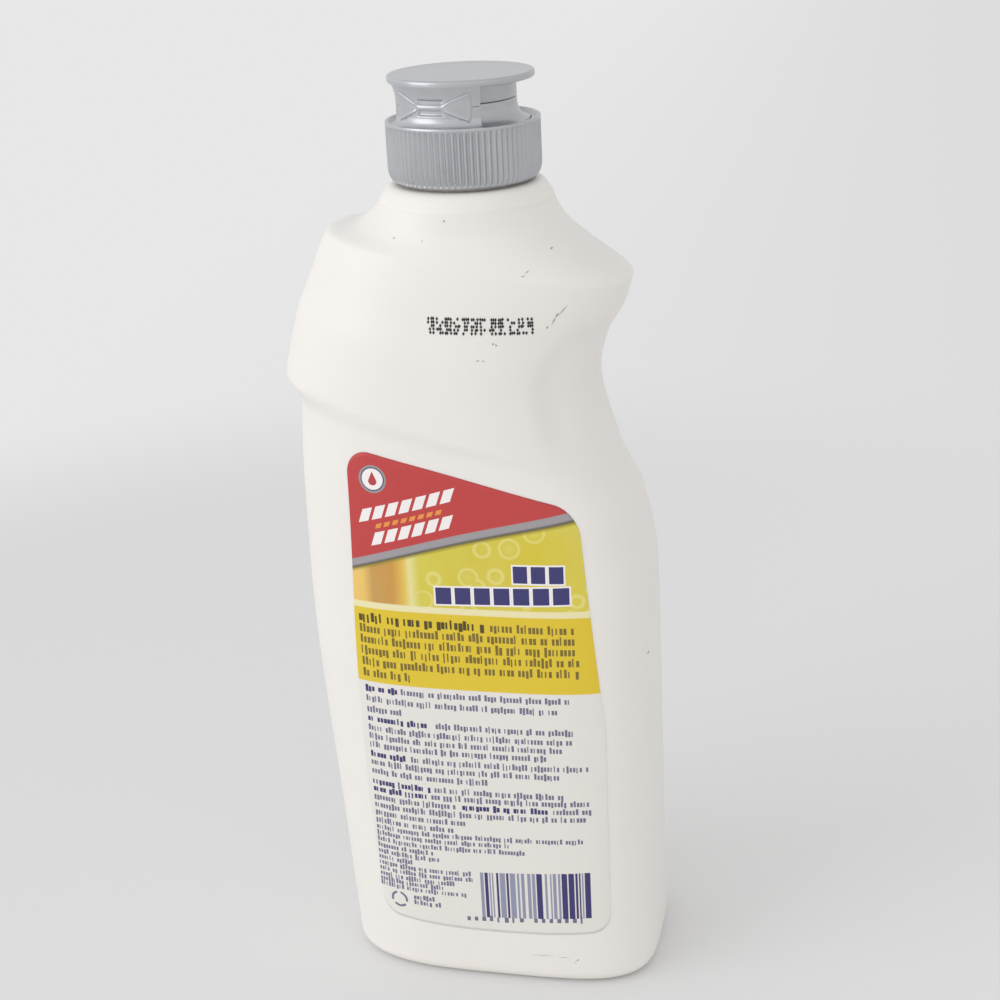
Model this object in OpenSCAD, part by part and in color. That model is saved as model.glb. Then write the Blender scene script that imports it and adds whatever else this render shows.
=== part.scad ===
// Flip-top squeeze bottle for a liquid cleanser, in millimetres.
// The origin is on the floor under the middle of the body, +Z is up, -Y is the
// face with the back label and +X is the side with the finger grip.

/* [Bottle] */
// Height of the collar foot above the floor
body_h = 212.5; // [205:0.5:225]
// Sideways offset of the neck from the middle of the body
neck_x = 1.1; // [0:0.1:6]
// Reach of the foot to the plain side
foot_l = 39.8; // [36:0.1:44]
// Reach of the foot to the grip side
foot_r = 47.4; // [44:0.1:52]
// Half depth of the foot
foot_d = 27.3; // [24:0.1:31]
// Round at the heel
heel_r = 4.5; // [2:0.1:7]
// Height of the fullest part of the label panel, as a share of the height
hip_share = 0.527; // [0.45:0.001:0.58]
// Reach of the hip to the plain side
hip_l = 45.4; // [42:0.1:49]
// Reach of the hip to the grip side
hip_r = 46.5; // [43:0.1:51]
// Half depth of the label panel
panel_d = 28; // [25:0.1:32]
// Drop from the collar foot to the flank between hip and ledge
flank_drop = 75.5; // [70:0.5:80]
// Reach of the flank to the grip side
flank_r = 43.2; // [40:0.1:47]
// Drop from the collar foot to the foot of the slanted ledge, at the middle
ledge_drop = 57.9; // [54:0.1:62]
// Reach to the plain side below the ledge
ledge_l = 43.8; // [41:0.1:47]
// Reach to the grip side at the ledge
ledge_r = 37.9; // [34:0.1:41]
// Height that the ledge takes to step out
ledge_rise = 3; // [2:0.1:5]
// Step of the ledge at the plain side
ledge_side = 3.5; // [1:0.1:6]
// Step of the ledge on the faces
ledge_face = 1.3; // [0.5:0.1:3]
// Drop from the collar foot to the grip waist
grip_drop = 36.5; // [33:0.5:41]
// Reach of the body at the grip waist
grip_r = 33.3; // [30:0.1:38]
// Drop from the collar foot to where the waist opens to the shoulder
waist_drop = 27; // [23:0.5:30]
// Reach of the body where the waist opens
waist_top_r = 35.6; // [32:0.1:38]
// Depth of the finger scoop in each face
scoop = 2.4; // [0:0.1:4]
// Radius of the finger scoop
scoop_r = 15; // [10:0.5:18]
// Drop from the collar foot to the shoulder crease, at the middle
ridge_drop = 12; // [9:0.5:15]
// Reach of the crease to the plain side
ridge_l = 33.4; // [30:0.1:37]
// Reach of the crease to the grip side
ridge_r = 42.4; // [39:0.1:45]
// Half depth at the shoulder crease
ridge_d = 24; // [22.5:0.1:26]
// Radius of the collar foot
collar_r = 21.8; // [21:0.1:24]
// Height of the collar
collar_h = 3.5; // [3:0.1:5]
// Extra squareness of the section on the grip side
grip_square = 1; // [0:0.1:2]
// Wall of the body
wall = 1.1; // [0.8:0.1:1.8]
// Thickness of the base
base_t = 1.6; // [1:0.1:2.5]
// Rise of the hollow under the base
push_up = 2.6; // [1.5:0.1:4]
// Width of the standing ring
stand_w = 3; // [2:0.1:5]

/* [Neck] */
// Radius of the neck under its thread
neck_r = 15.1; // [14:0.1:16]
// Radius of the bore
bore_r = 12.6; // [11:0.1:13.2]
// Height of the neck above the collar
neck_h = 12.4; // [10:0.1:14]

/* [Closure] */
// Turn of the closure about the neck, from the labelled face
cap_turn = -12.7; // [-40:0.1:40]
// Gap between the collar and the skirt
cap_gap = 1.7; // [0.5:0.1:3]
// Radius of the skirt over its ribs
skirt_r = 19.15; // [18.6:0.05:21]
// Number of grip ribs
rib_n = 80; // [40:1:100]
// Height of a rib over the skirt
rib_t = 0.4; // [0.2:0.05:0.6]
// Plain band below the ribs
skirt_band = 1.3; // [0.8:0.1:3]
// Round of the band's lower edge
band_round = 1; // [0.4:0.1:1.4]
// Thickness of the sealing ring
seal_t = 1; // [0.6:0.1:1.5]
// Radius of the sealing ring's hole
seal_bore_r = 10.5; // [8:0.1:12]
// Thickness of the closure's ceiling
ceiling_t = 1.6; // [1.2:0.1:2]
// Height of the deck's rim above the ceiling
rim_h = 1.3; // [1:0.1:3]
// Width of the deck's rim
rim_w = 1; // [0.6:0.1:2]
// Height of the spout above the rim
spout_h = 4.7; // [4:0.1:7]
// Radius of the spout at its top
spout_r = 13.5; // [12:0.1:14.5]
// Radius of the spout at its foot
spout_foot_r = 16.6; // [16.2:0.1:17]
// Wall of the spout
spout_t = 1.6; // [1.2:0.1:2]
// Radius of the pouring hole
hole_r = 3.2; // [2.5:0.1:5]
// Radius of the hinge wall
hinge_wall_r = 17.2; // [16.8:0.05:17.6]
// Thickness of the hinge wall
hinge_wall_t = 2; // [1.6:0.1:2.4]
// Half of the angle that the hinge wall covers
hinge_wall_a = 39.2; // [36:0.1:50]

/* [Lid] */
// Radius of the lid's disc
lid_r = 18.05; // [17.8:0.05:19]
// Thickness of the disc
lid_t = 1.7; // [1.3:0.05:2.5]
// Height of the lid above the spout
lid_h = 6.3; // [6:0.1:9]
// Round of the disc's edge
lid_round = 0.5; // [0.2:0.05:0.6]
// Reach of the plug below the spout's top
plug_h = 1.3; // [0.8:0.1:1.5]

/* [Hinge strap] */
// Half of the angle that the bow covers
bow_a = 32.5; // [26:0.5:34]
// Half height of the bow at its ends
bow_h = 3.6; // [2.5:0.1:4.2]
// Half height of the bow at its knot
knot_h = 0.75; // [0.4:0.05:1.2]
// Half of the angle that the knot covers
knot_a = 9.5; // [6:0.5:14]
// Thickness of the strap
strap_t = 0.9; // [0.6:0.1:1.2]
// Height of the strap over the hinge wall
strap_proud = 0.3; // [0.1:0.05:0.6]

/* [Back label] */
// Thickness of the label
label_t = 0.15; // [0.1:0.01:0.3]
// Height of the label's lower edge
label_bottom = 16; // [12:0.5:40]
// Gap from the ledge down to the label's slanted upper edge, at the middle
label_gap = 6.3; // [5:0.1:40]
// Rise of the slanted edge from its middle to each end
label_fall = 7.9; // [4:0.1:9]
// Sag of the ends of the upper edge
label_bow = 1; // [0:0.1:2]
// Rise of the lower edge at its ends
label_smile = 1.5; // [0:0.1:3]
// Reach of the label to the plain side
label_l = 28.9; // [15:0.1:30]
// Reach of the label to the grip side
label_r = 36.6; // [20:0.1:37]
// Pull of its upper end to the middle, on the grip side
label_taper = 5.5; // [0:0.1:10]
// Pull of its upper end to the middle, on the plain side
label_draw_in = 1.6; // [0:0.1:4]
// Pull of its lower end to the middle, on the plain side
label_foot_in = 2; // [0:0.1:4]
// Round of the label's corners
label_round = 5; // [2:0.5:10]

/* [Fit] */
// Running gap between closure, seal and neck
fit_gap = 0.05; // [0.03:0.01:0.1]
// Gap between plug and pouring hole
plug_gap = 0.08; // [0.05:0.01:0.2]
// Gap between lid and closure, and round the strap
lid_gap = 0.1; // [0.05:0.01:0.3]
// Gap between the neck and the inside of the skirt
skirt_gap = 1.5; // [1.2:0.1:1.8]

/* [Hidden] */

$fn = 96;

// points round each ring of the body and of its cavity
ring_n = 60;
cavity_n = 40;

// heights of the body's rows above the floor
hip_h = body_h * hip_share;
flank_h = body_h - flank_drop;
ledge_h = body_h - ledge_drop;
grip_h = body_h - grip_drop;
waist_top_h = body_h - waist_drop;
ridge_h = body_h - ridge_drop;
label_top = ledge_h - label_gap;

collar_top = body_h + collar_h;
neck_top = collar_top + neck_h;
cap_z = collar_top + cap_gap;
ceiling_z = neck_top + seal_t + 2 * fit_gap;
ceiling_top = ceiling_z + ceiling_t;
rim_z = ceiling_top + rim_h;
spout_z = rim_z + spout_h;
lid_top = spout_z + lid_h;
thread_room = neck_r + skirt_gap;

// what the slanted rings of the body lean, as a rise for each millimetre of +X
ledge_lean = -0.22;
lip_lean = -0.27;
grip_lean = -0.235;
ridge_lean = -0.167;

// Rows of the body above the heel: height, lean, reach to -X, reach to +X,
// half depth, squareness of the section, share of the ledge's step.
rows_below = [
    [heel_r, 0, foot_l, foot_r, foot_d, 2.9, 0],
    [(heel_r + hip_h) / 3, 0, foot_l + (hip_l - foot_l) * 0.35, foot_r * 0.996, panel_d * 0.996, 2.8, 0],
    [hip_h, 0, hip_l, hip_r, panel_d, 2.9, 0],
    [flank_h, ledge_lean / 2, (hip_l + ledge_l) * 0.5045, flank_r, panel_d, 2.9, 0],
    [ledge_h, ledge_lean, ledge_l, ledge_r, panel_d * 0.989, 2.8, 0]
];
rows_above = [
    [ledge_h + ledge_rise, lip_lean, ledge_l * 1.002, ledge_r * 0.992, panel_d * 0.986, 2.8, 1],
    [grip_h, grip_lean, (ledge_l + ridge_l) * 0.5207, grip_r, (panel_d + ridge_d) * 0.5173, 2.5, 1],
    [waist_top_h, (grip_lean + ridge_lean) / 2, ridge_l * 1.12, waist_top_r, ridge_d * 1.067, 2.5, 1],
    [(waist_top_h + ridge_h) / 2, ridge_lean, ridge_l * 1.06, ridge_r * 0.948, ridge_d * 1.033, 2.5, 1],
    [ridge_h, ridge_lean, ridge_l, ridge_r, ridge_d, 2.4, 0.6]
];
rows_top = [
    [ridge_h, ridge_lean, ridge_l, ridge_r, ridge_d, 2.4, 0.6],
    [ridge_h * 0.667 + body_h * 0.333, ridge_lean * 0.7, ridge_l * 0.784, ridge_r * 0.769, ridge_d * 0.958, 2.3, 0.2],
    [ridge_h * 0.333 + body_h * 0.667, ridge_lean * 0.35, ridge_l * 0.7, ridge_r * 0.608, collar_r * 1.009, 2.1, 0],
    [body_h, 0, collar_r - neck_x, collar_r + neck_x, collar_r, 2, 0]
];

// smooth step from 0 to 1 as t goes from a to b
function ease(t, a, b) =
    let (s = min(1, max(0, (t - a) / (b - a)))) s * s * (3 - 2 * s);

// slopes for a curve through rows that never overshoots them, column c
function secant(rows, c, i) = (rows[i + 1][c] - rows[i][c]) / (rows[i + 1][0] - rows[i][0]);
function slope(rows, c, i) =
    i == 0 ? secant(rows, c, 0) :
    i == len(rows) - 1 ? secant(rows, c, i - 1) :
    let (p = secant(rows, c, i - 1), q = secant(rows, c, i))
    p * q <= 0 ? 0 : 2 * p * q / (p + q);

// value of column c at height z, between row i and the next one
function cubic(rows, c, i, z) =
    let (
        h = rows[i + 1][0] - rows[i][0],
        t = (z - rows[i][0]) / h,
        u = 1 - t
    )
    (1 + 2 * t) * u * u * rows[i][c] + t * t * (3 - 2 * t) * rows[i + 1][c]
    + t * u * u * h * slope(rows, c, i) - t * t * u * h * slope(rows, c, i + 1);

// a whole row at height z
function row_at(rows, z) =
    let (
        found = [for (i = [0 : len(rows) - 2]) if (z >= rows[i][0]) i],
        i = len(found) == 0 ? 0 : found[len(found) - 1]
    )
    [z, for (c = [1 : 6]) cubic(rows, c, i, z)];

// n rows evenly spread over a list of rows, from its share a to its share b
function spread(rows, n, a = 0, b = 1) =
    let (low = rows[0][0], high = rows[len(rows) - 1][0])
    [for (i = [0 : n]) row_at(rows, low + (high - low) * (a + (b - a) * i / n))];

// rows of the heel: a quarter round that draws the foot in
function heel_rows(n) = [
    for (i = [0 : n - 1])
    let (a = 90 * i / n, pull = heel_r * (1 - sin(a)))
    [heel_r * (1 - cos(a)), 0, foot_l - pull, foot_r - pull, foot_d - pull, 2.9 + 0.2 * cos(a), 0]
];

// step of the ledge at x: full on the plain side, gone past the middle of the grip side
function ledge_step(x) =
    ledge_face * (1 - ease(x, 0, ledge_r * 0.7))
    + (ledge_side - ledge_face) * ease(-x, ledge_l * 0.62, ledge_l * 0.98);

// depth of the finger scoop at x, z: sharp at its upper inner rim, soft below
function scoop_depth(x, z) =
    let (
        dx = x - grip_r * 1.03,
        dz = z - (grip_h - scoop_r * 0.467),
        d = norm([dx, dz * (dz > 0 ? 1 : 0.62)])
    )
    scoop * (1 - ease(d, scoop_r * 0.62, scoop_r));

// a point on a row's section at angle a, drawn in by the wall w
function skin_point(row, a, w) =
    let (
        left = row[2] - w,
        right = row[3] - w,
        mid = (right - left) / 2,
        half = (right + left) / 2,
        deep = row[4] - w,
        square = cos(a) > 0 ? grip_square * (1 - ease(row[0], flank_h, ledge_h)) : 0,
        e = 2 / (row[5] + square),
        cx = sign(cos(a)) * pow(abs(cos(a)), e),
        sy = sign(sin(a)) * pow(abs(sin(a)), e),
        x0 = mid + half * cx,
        y0 = deep * sy,
        step = row[6] * ledge_step(x0),
        out = [half * cx, deep * sy * 1.6] / max(0.001, norm([half * cx, deep * sy * 1.6])),
        x = x0 + step * out[0],
        z = row[0] + row[1] * x,
        dip = scoop_depth(x, z) * abs(sy)
    )
    [x, y0 + step * out[1] - dip * sign(sy), z];

function skin_ring(row, n, w) = [for (k = [0 : n - 1]) skin_point(row, 360 * k / n, w)];

// a flat ring at height z, a copy of ring r drawn to the middle by share s
function inner_ring(r, mid, s, z) = [for (p = r) [mid + (p[0] - mid) * s, p[1] * s, z]];

// closed solid over rings of n points, each ring above the one before
module skin(rings, n) {
    m = len(rings);
    points = [for (r = rings) each r];
    sides = [
        for (i = [0 : m - 2], k = [0 : n - 1], h = [0, 1])
        let (k2 = (k + 1) % n)
        h == 0
        ? [i * n + k, (i + 1) * n + k, (i + 1) * n + k2]
        : [i * n + k, (i + 1) * n + k2, i * n + k2]
    ];
    floor_face = [for (k = [0 : n - 1]) k];
    top_face = [for (k = [0 : n - 1]) m * n - 1 - k];
    polyhedron(points, concat([floor_face], sides, [top_face]), convexity = 8);
}

foot_mid = (foot_r - foot_l) / 2;
foot_ring = skin_ring(heel_rows(4)[0], ring_n, 0);
stand_s = 1 - stand_w / (foot_d - heel_r);

body_rows = concat(
    heel_rows(4),
    spread(rows_below, 20),
    spread(rows_above, 18),
    [for (r = spread(rows_top, 7, 0.04)) r]
);

// outer skin: the hollow under the base first, then the heel and all rows
body_rings = concat(
    [inner_ring(foot_ring, foot_mid, stand_s * 0.55, push_up)],
    [inner_ring(foot_ring, foot_mid, stand_s * 0.86, push_up * 0.8)],
    [inner_ring(foot_ring, foot_mid, stand_s, 0)],
    [for (r = body_rows) skin_ring(r, ring_n, 0)]
);

// inside of the body, a wall's thickness within the skin
cavity_rows = concat(
    [for (r = spread(rows_below, 8, 0.02)) r],
    [for (r = spread(rows_above, 7)) r],
    [for (r = spread(rows_top, 4, 0.1)) r]
);
cavity_foot = skin_ring(cavity_rows[0], cavity_n, wall);
cavity_rings = concat(
    [inner_ring(cavity_foot, foot_mid, 0.8, push_up + base_t)],
    [for (r = cavity_rows) skin_ring(r, cavity_n, wall)],
    [[for (k = [0 : cavity_n - 1])
        let (a = 360 * k / cavity_n)
        [neck_x + (bore_r - 0.4) * cos(a), (bore_r - 0.4) * sin(a), body_h + collar_h * 0.6]]]
);

// turns the closure's own frame, with the hinge at -Y, to its place on the neck
module on_neck() {
    translate([neck_x, 0, 0])
        rotate([0, 0, cap_turn])
            children();
}

// collar and neck finish: a turned solid with a step for the closure to stop on
module neck_solid() {
    translate([neck_x, 0, 0])
        rotate_extrude()
            polygon([
                [0, body_h - 4],
                [collar_r - 4, body_h - 4],
                [collar_r + 0.1, body_h - 0.3],
                [collar_r + 0.1, body_h + 0.4],
                [collar_r - 0.7, body_h + collar_h - 1.2],
                [collar_r - 1.3, body_h + collar_h - 0.4],
                [collar_r - 2.1, collar_top],
                [neck_r, collar_top],
                [neck_r, neck_top - 0.6],
                [neck_r - 0.6, neck_top],
                [0, neck_top]
            ]);
}

// blow-moulded bottle: lofted body, collar, neck and hollow inside
module bottle() {
    color("#eceae4")
        difference() {
            union() {
                skin(body_rings, ring_n);
                neck_solid();
            }
            skin(cavity_rings, cavity_n);
            translate([neck_x, 0, body_h - 1.5])
                cylinder(r = bore_r, h = collar_h + neck_h + 3);
        }
}

// ribbed outline of the skirt: each rib rises from a root that lies below the skirt's surface
function rib_outline() = [
    for (i = [0 : rib_n - 1], s = [0 : 3])
    let (
        share = [0, 0.24, 0.5, 0.76][s],
        a = 360 * (i + share) / rib_n,
        r = [skirt_r - rib_t - 0.15, skirt_r - rib_t * 0.4, skirt_r - 0.05, skirt_r - rib_t * 0.4][s]
    )
    [r * cos(a), r * sin(a)]
];

// a ring sector of height h about the hinge side, r0 to r1, half angle a
module sector(a) {
    rotate([0, 0, -90 - a])
        rotate_extrude(angle = 2 * a)
            children();
}

// outline of the bow-tie strap as seen from the front, grown by g
module bow_outline(g) {
    x_out = hinge_wall_r * sin(bow_a) + g;
    x_bulge = hinge_wall_r * sin(bow_a + 1.6) + g;
    x_knot = hinge_wall_r * sin(knot_a) - g;
    polygon([
        [-x_out, bow_h + g],
        [-x_bulge, 0],
        [-x_out, -bow_h - g],
        [-x_knot, -knot_h - g],
        [x_knot, -knot_h - g],
        [x_out, -bow_h - g],
        [x_bulge, 0],
        [x_out, bow_h + g],
        [x_knot, knot_h + g],
        [-x_knot, knot_h + g]
    ]);
}

// the bow as a curved plate from radius r0 to r1
module bow_plate(r0, r1, g) {
    intersection() {
        translate([0, 0, spout_z])
            rotate([90, 0, 0])
                linear_extrude(height = lid_r + 4)
                    bow_outline(g);
        translate([0, 0, spout_z - bow_h - 2])
            difference() {
                cylinder(r = r1, h = 2 * bow_h + 4);
                translate([0, 0, -1])
                    cylinder(r = r0, h = 2 * bow_h + 6);
            }
    }
}

// recess in which the strap lies, cut in both hinge walls
module bow_pocket() {
    bow_plate(hinge_wall_r + strap_proud - strap_t - lid_gap, lid_r + 3, lid_gap);
}

// shallow window round the knot, cut in both hinge walls
module knot_window() {
    x_knot = hinge_wall_r * sin(knot_a);
    difference() {
        translate([-x_knot, -hinge_wall_r - 3, spout_z - knot_h * 2.4])
            cube([2 * x_knot, 6, knot_h * 4.8]);
        translate([0, 0, spout_z - knot_h * 3])
            cylinder(r = hinge_wall_r - strap_t * 0.6, h = knot_h * 6);
    }
}

// lower moulding of the closure: ribbed skirt, deck, spout and hinge wall
module closure_body() {
    color("#a9adb2")
        on_neck()
            difference() {
                union() {
                    translate([0, 0, cap_z + skirt_band - 0.3])
                        linear_extrude(height = rim_z - cap_z - skirt_band)
                            difference() {
                                polygon(rib_outline());
                                circle(r = skirt_r - rib_t - 0.5);
                            }
                    rotate_extrude()
                        polygon(closure_profile());
                    sector(hinge_wall_a)
                        polygon(hinge_wall_profile());
                }
                rotate_extrude()
                    polygon([
                        [0, ceiling_z - 1],
                        [seal_bore_r, ceiling_z - 1],
                        [seal_bore_r, ceiling_top],
                        [spout_r - spout_t, rim_z],
                        [spout_r - spout_t, spout_z - spout_t - 0.6],
                        [spout_r - spout_t - 0.8, spout_z - spout_t],
                        [0, spout_z - spout_t]
                    ]);
                cylinder(r = hole_r, h = spout_z + 1);
                bow_pocket();
                knot_window();
            }
}

// half section of skirt, deck and spout, from the axis outwards and back
function closure_profile() = concat(
    [[0, ceiling_z], [thread_room, ceiling_z], [thread_room, cap_z]],
    [for (i = [0 : 4])
        let (a = 90 * i / 4)
        [skirt_r - band_round + band_round * sin(a), cap_z + band_round - band_round * cos(a)]],
    [[skirt_r, cap_z + skirt_band]],
    [[skirt_r - rib_t, cap_z + skirt_band + 0.1], [skirt_r - rib_t, rim_z - 0.7]],
    [[skirt_r, rim_z - 0.6], [skirt_r, rim_z - 0.2], [skirt_r - 0.25, rim_z]],
    [[skirt_r - rim_w, rim_z], [skirt_r - rim_w - 0.3, rim_z - 0.7], [spout_foot_r + 0.3, rim_z - 0.7]],
    [for (i = [0 : 6])
        let (a = 90 * i / 6, rise = spout_h + 0.3)
        [spout_r + (spout_foot_r - spout_r) * (1 - sin(a)), rim_z - 0.3 + rise * 0.8 * (1 - cos(a))]],
    [[spout_r, spout_z], [0, spout_z]]
);

// hinge wall with the sweep that carries it down to the rim
function hinge_wall_profile() = concat(
    [[hinge_wall_r - hinge_wall_t, rim_z - 1], [skirt_r - 0.5, rim_z - 1], [skirt_r - 0.1, rim_z]],
    [for (i = [0 : 5])
        let (a = 90 * i / 5, reach = skirt_r - 0.1 - hinge_wall_r)
        [hinge_wall_r + reach * (1 - sin(a)), rim_z + 0.1 + reach * 1.1 * (1 - cos(a))]],
    [[hinge_wall_r, spout_z], [hinge_wall_r - hinge_wall_t, spout_z]]
);

// lid: disc with its thumb lip, hinge wall, inner boss and plug
module flip_lid() {
    lid_z = lid_top - lid_t;
    foot_z = spout_z + lid_gap;
    color("#aeb2b7")
        on_neck()
            difference() {
                union() {
                    rotate_extrude()
                        polygon([
                            [0, lid_z],
                            [lid_r - lid_round * 0.6, lid_z],
                            [lid_r, lid_z + lid_round * 0.6],
                            [lid_r, lid_top - lid_round],
                            [lid_r - lid_round * 0.3, lid_top - lid_round * 0.3],
                            [lid_r - lid_round, lid_top],
                            [0, lid_top]
                        ]);
                    rotate_extrude()
                        polygon([
                            [spout_r - spout_t, foot_z],
                            [spout_r, foot_z],
                            [spout_r, lid_z + 0.1],
                            [spout_r - spout_t, lid_z + 0.1]
                        ]);
                    sector(hinge_wall_a)
                        polygon([
                            [hinge_wall_r - hinge_wall_t, foot_z],
                            [hinge_wall_r, foot_z],
                            [hinge_wall_r, lid_z - 0.8],
                            [hinge_wall_r + 0.25, lid_z - 0.25],
                            [lid_r - 0.3, lid_z + 0.1],
                            [hinge_wall_r - hinge_wall_t, lid_z + 0.1]
                        ]);
                    rotate_extrude()
                        polygon([
                            [0, spout_z - plug_h],
                            [hole_r - plug_gap - 0.5, spout_z - plug_h],
                            [hole_r - plug_gap, spout_z - plug_h + 0.6],
                            [hole_r - plug_gap, lid_z + 0.1],
                            [0, lid_z + 0.1]
                        ]);
                }
                bow_pocket();
                knot_window();
            }
}

// bow-tie strap, the thin flexing part that ties the lid to the closure
module hinge_strap() {
    color("#b6bac0")
        on_neck()
            bow_plate(hinge_wall_r + strap_proud - strap_t, hinge_wall_r + strap_proud, 0);
}

// soft ring pressed between the neck and the closure's ceiling
module seal_ring() {
    color("#f2f2f0")
        translate([neck_x, 0, neck_top + fit_gap])
            difference() {
                cylinder(r = neck_r + skirt_gap - 4 * fit_gap, h = seal_t);
                translate([0, 0, -1])
                    cylinder(r = seal_bore_r, h = seal_t + 2);
            }
}

// how far a round corner of radius r draws the label's edge in, at its column u
function corner_drop(u, r) =
    let (reach = (label_l + label_r) / 2, d = reach * (1 - abs(u)))
    d >= r ? 0 : r - sqrt(max(0, pow(r, 2) - pow(r - d, 2)));

// heights on the labelled face where the label's column u starts and ends
function label_low(u) = label_bottom + corner_drop(u, label_round) + label_smile * u * u;
function label_high(u) =
    label_top - label_fall * u - label_bow * u * u - corner_drop(u, label_round * (u > 0 ? 1.3 : 0.9));

// side edges of the label at height z
function label_left(z) =
    label_l - label_draw_in * ease(z, label_top * 0.6, label_top)
    - label_foot_in * ease(-z, -label_bottom * 3.75, -label_bottom);
function label_right(z) =
    label_r - label_taper * min(1, max(0, z / label_top - 0.53) / 0.42);

// half depth of the skin at x, z, from the row whose slanted ring passes there
function row_height(x, z, n = 6) =
    n == 0 ? z : z - row_at(rows_below, max(heel_r, min(ledge_h, row_height(x, z, n - 1))))[1] * x;
function face_y(x, z) =
    let (
        row = row_at(rows_below, max(heel_r, min(ledge_h, row_height(x, z)))),
        mid = (row[3] - row[2]) / 2,
        half = (row[3] + row[2]) / 2
    )
    let (n = row[5] + (x > mid ? grip_square * (1 - ease(row[0], flank_h, ledge_h)) : 0))
    row[4] * pow(1 - pow(abs(x - mid) / half, n), 1 / n);

// film label that follows the panel
module back_label() {
    nu = 20;
    nv = 22;
    side = [for (s = [0, 1], v = [0 : nv], i = [0 : nu])
        let (
            u = sin(90 * (2 * i / nu - 1)),
            z = label_low(u) + (label_high(u) - label_low(u)) * v / nv,
            x = -label_left(z) + (label_left(z) + label_right(z)) * (u + 1) / 2,
            y = face_y(x, z) + label_t * (1 + s)
        )
        [x, -y, z]
    ];
    w = nu + 1;
    back = (nv + 1) * w;
    function quad(a, b, c, d) = [[a, b, c], [a, c, d]];
    faces = [
        for (v = [0 : nv - 1], i = [0 : nu - 1])
            each concat(
                quad(back + v * w + i, back + v * w + i + 1, back + (v + 1) * w + i + 1, back + (v + 1) * w + i),
                quad(v * w + i, (v + 1) * w + i, (v + 1) * w + i + 1, v * w + i + 1)
            ),
        for (v = [0 : nv - 1])
            each concat(
                quad(v * w, back + v * w, back + (v + 1) * w, (v + 1) * w),
                quad(v * w + nu, (v + 1) * w + nu, back + (v + 1) * w + nu, back + v * w + nu)
            ),
        for (i = [0 : nu - 1])
            each concat(
                quad(i, i + 1, back + i + 1, back + i),
                quad(nv * w + i, back + nv * w + i, back + nv * w + i + 1, nv * w + i + 1)
            )
    ];
    color("#b02a35")
        polyhedron(side, [for (f = faces) [f[2], f[1], f[0]]], convexity = 6);
}

bottle();
closure_body();
flip_lid();
hinge_strap();
seal_ring();
back_label();
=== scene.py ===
# Flip-top squeeze bottle for a liquid cleanser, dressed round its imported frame.
# Shapes are worked out in millimetres and meshed in metres. The origin is on the
# floor under the middle of the body, +Z is up, -Y is the face with the back
# label, and +X is the side with the finger grip.

import math

import bpy
import numpy as np
from mathutils import Matrix


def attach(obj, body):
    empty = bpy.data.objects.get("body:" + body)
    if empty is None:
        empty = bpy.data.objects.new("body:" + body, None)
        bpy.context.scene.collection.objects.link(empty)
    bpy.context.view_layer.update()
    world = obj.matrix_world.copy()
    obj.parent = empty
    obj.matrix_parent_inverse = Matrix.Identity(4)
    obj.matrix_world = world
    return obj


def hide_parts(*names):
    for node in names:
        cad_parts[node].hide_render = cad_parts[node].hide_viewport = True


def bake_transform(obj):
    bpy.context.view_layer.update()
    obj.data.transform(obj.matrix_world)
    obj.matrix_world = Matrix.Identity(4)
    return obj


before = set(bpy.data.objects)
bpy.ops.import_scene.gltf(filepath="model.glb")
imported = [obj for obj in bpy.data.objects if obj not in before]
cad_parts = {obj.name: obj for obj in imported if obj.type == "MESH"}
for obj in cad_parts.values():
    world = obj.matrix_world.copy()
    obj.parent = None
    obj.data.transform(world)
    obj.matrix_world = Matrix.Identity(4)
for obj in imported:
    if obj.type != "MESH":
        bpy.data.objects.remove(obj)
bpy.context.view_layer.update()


# Camera. It stands a little above the closure, in front of the labelled face and
# turned towards the grip side, with a long lens.

def axes_matrix(side, top, back, place):
    """Matrix whose columns are three unit axes and a place in metres."""
    rows = [(side[k], top[k], back[k], place[k]) for k in range(3)]
    return Matrix(rows + [(0, 0, 0, 1)])


def aim_camera(place, heading, pitch, roll, lens):
    """Camera at a point in metres: the view turns by heading about Z from +Y,
    dips by pitch, then rolls about its own axis."""
    az, dip, tilt = (math.radians(a) for a in (heading, pitch, roll))
    ahead = np.array([-math.sin(az) * math.cos(dip), math.cos(az) * math.cos(dip), -math.sin(dip)])
    right = np.cross(ahead, [0, 0, 1])
    right /= np.linalg.norm(right)
    up = np.cross(right, ahead)
    side = right * math.cos(tilt) + up * math.sin(tilt)
    top = up * math.cos(tilt) - right * math.sin(tilt)
    data = bpy.data.cameras.new("photo_view")
    data.sensor_width = 36
    data.lens = lens
    data.clip_start = 0.01
    data.clip_end = 60
    camera = bpy.data.objects.new("photo_view", data)
    bpy.context.scene.collection.objects.link(camera)
    camera.matrix_world = axes_matrix(side, top, -ahead, place)
    bpy.context.scene.camera = camera


aim_camera((0.107605, -0.431982, 0.302771), 13.26, 21.06, -2.79, 64.8)


# Studio. A wide pale floor with painted light on it: near the bottle it is painted lighter towards +X,
# and with distance it turns to a glowing tone painted lighter on the left; a white sky
# that is brightest at the front left, and one soft window lamp on that side.

def linear(code):
    """Linear colour of an sRGB hex code, with alpha 1."""
    parts = [int(code[k:k + 2], 16) / 255 for k in (1, 3, 5)]
    return tuple(c / 12.92 if c <= 0.04045 else ((c + 0.055) / 1.055) ** 2.4 for c in parts) + (1,)


def new_material(name):
    """A node material with a Principled shader, and its Object coordinates."""
    material = bpy.data.materials.new(name)
    material.use_nodes = True
    shader = next(n for n in material.node_tree.nodes if n.type == "BSDF_PRINCIPLED")
    place = add(material.node_tree, "ShaderNodeTexCoord")
    return material, material.node_tree, shader, place.outputs["Object"]


def add(tree, kind, props=None, values=None, links=None):
    """One node, with its settings, its socket values and what feeds its inputs."""
    node = tree.nodes.new(kind)
    for key, value in (props or {}).items():
        setattr(node, key, value)
    for key, value in (values or {}).items():
        node.inputs[key].default_value = value
    for key, source in (links or {}).items():
        tree.links.new(source, node.inputs[key])
    return node


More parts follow.
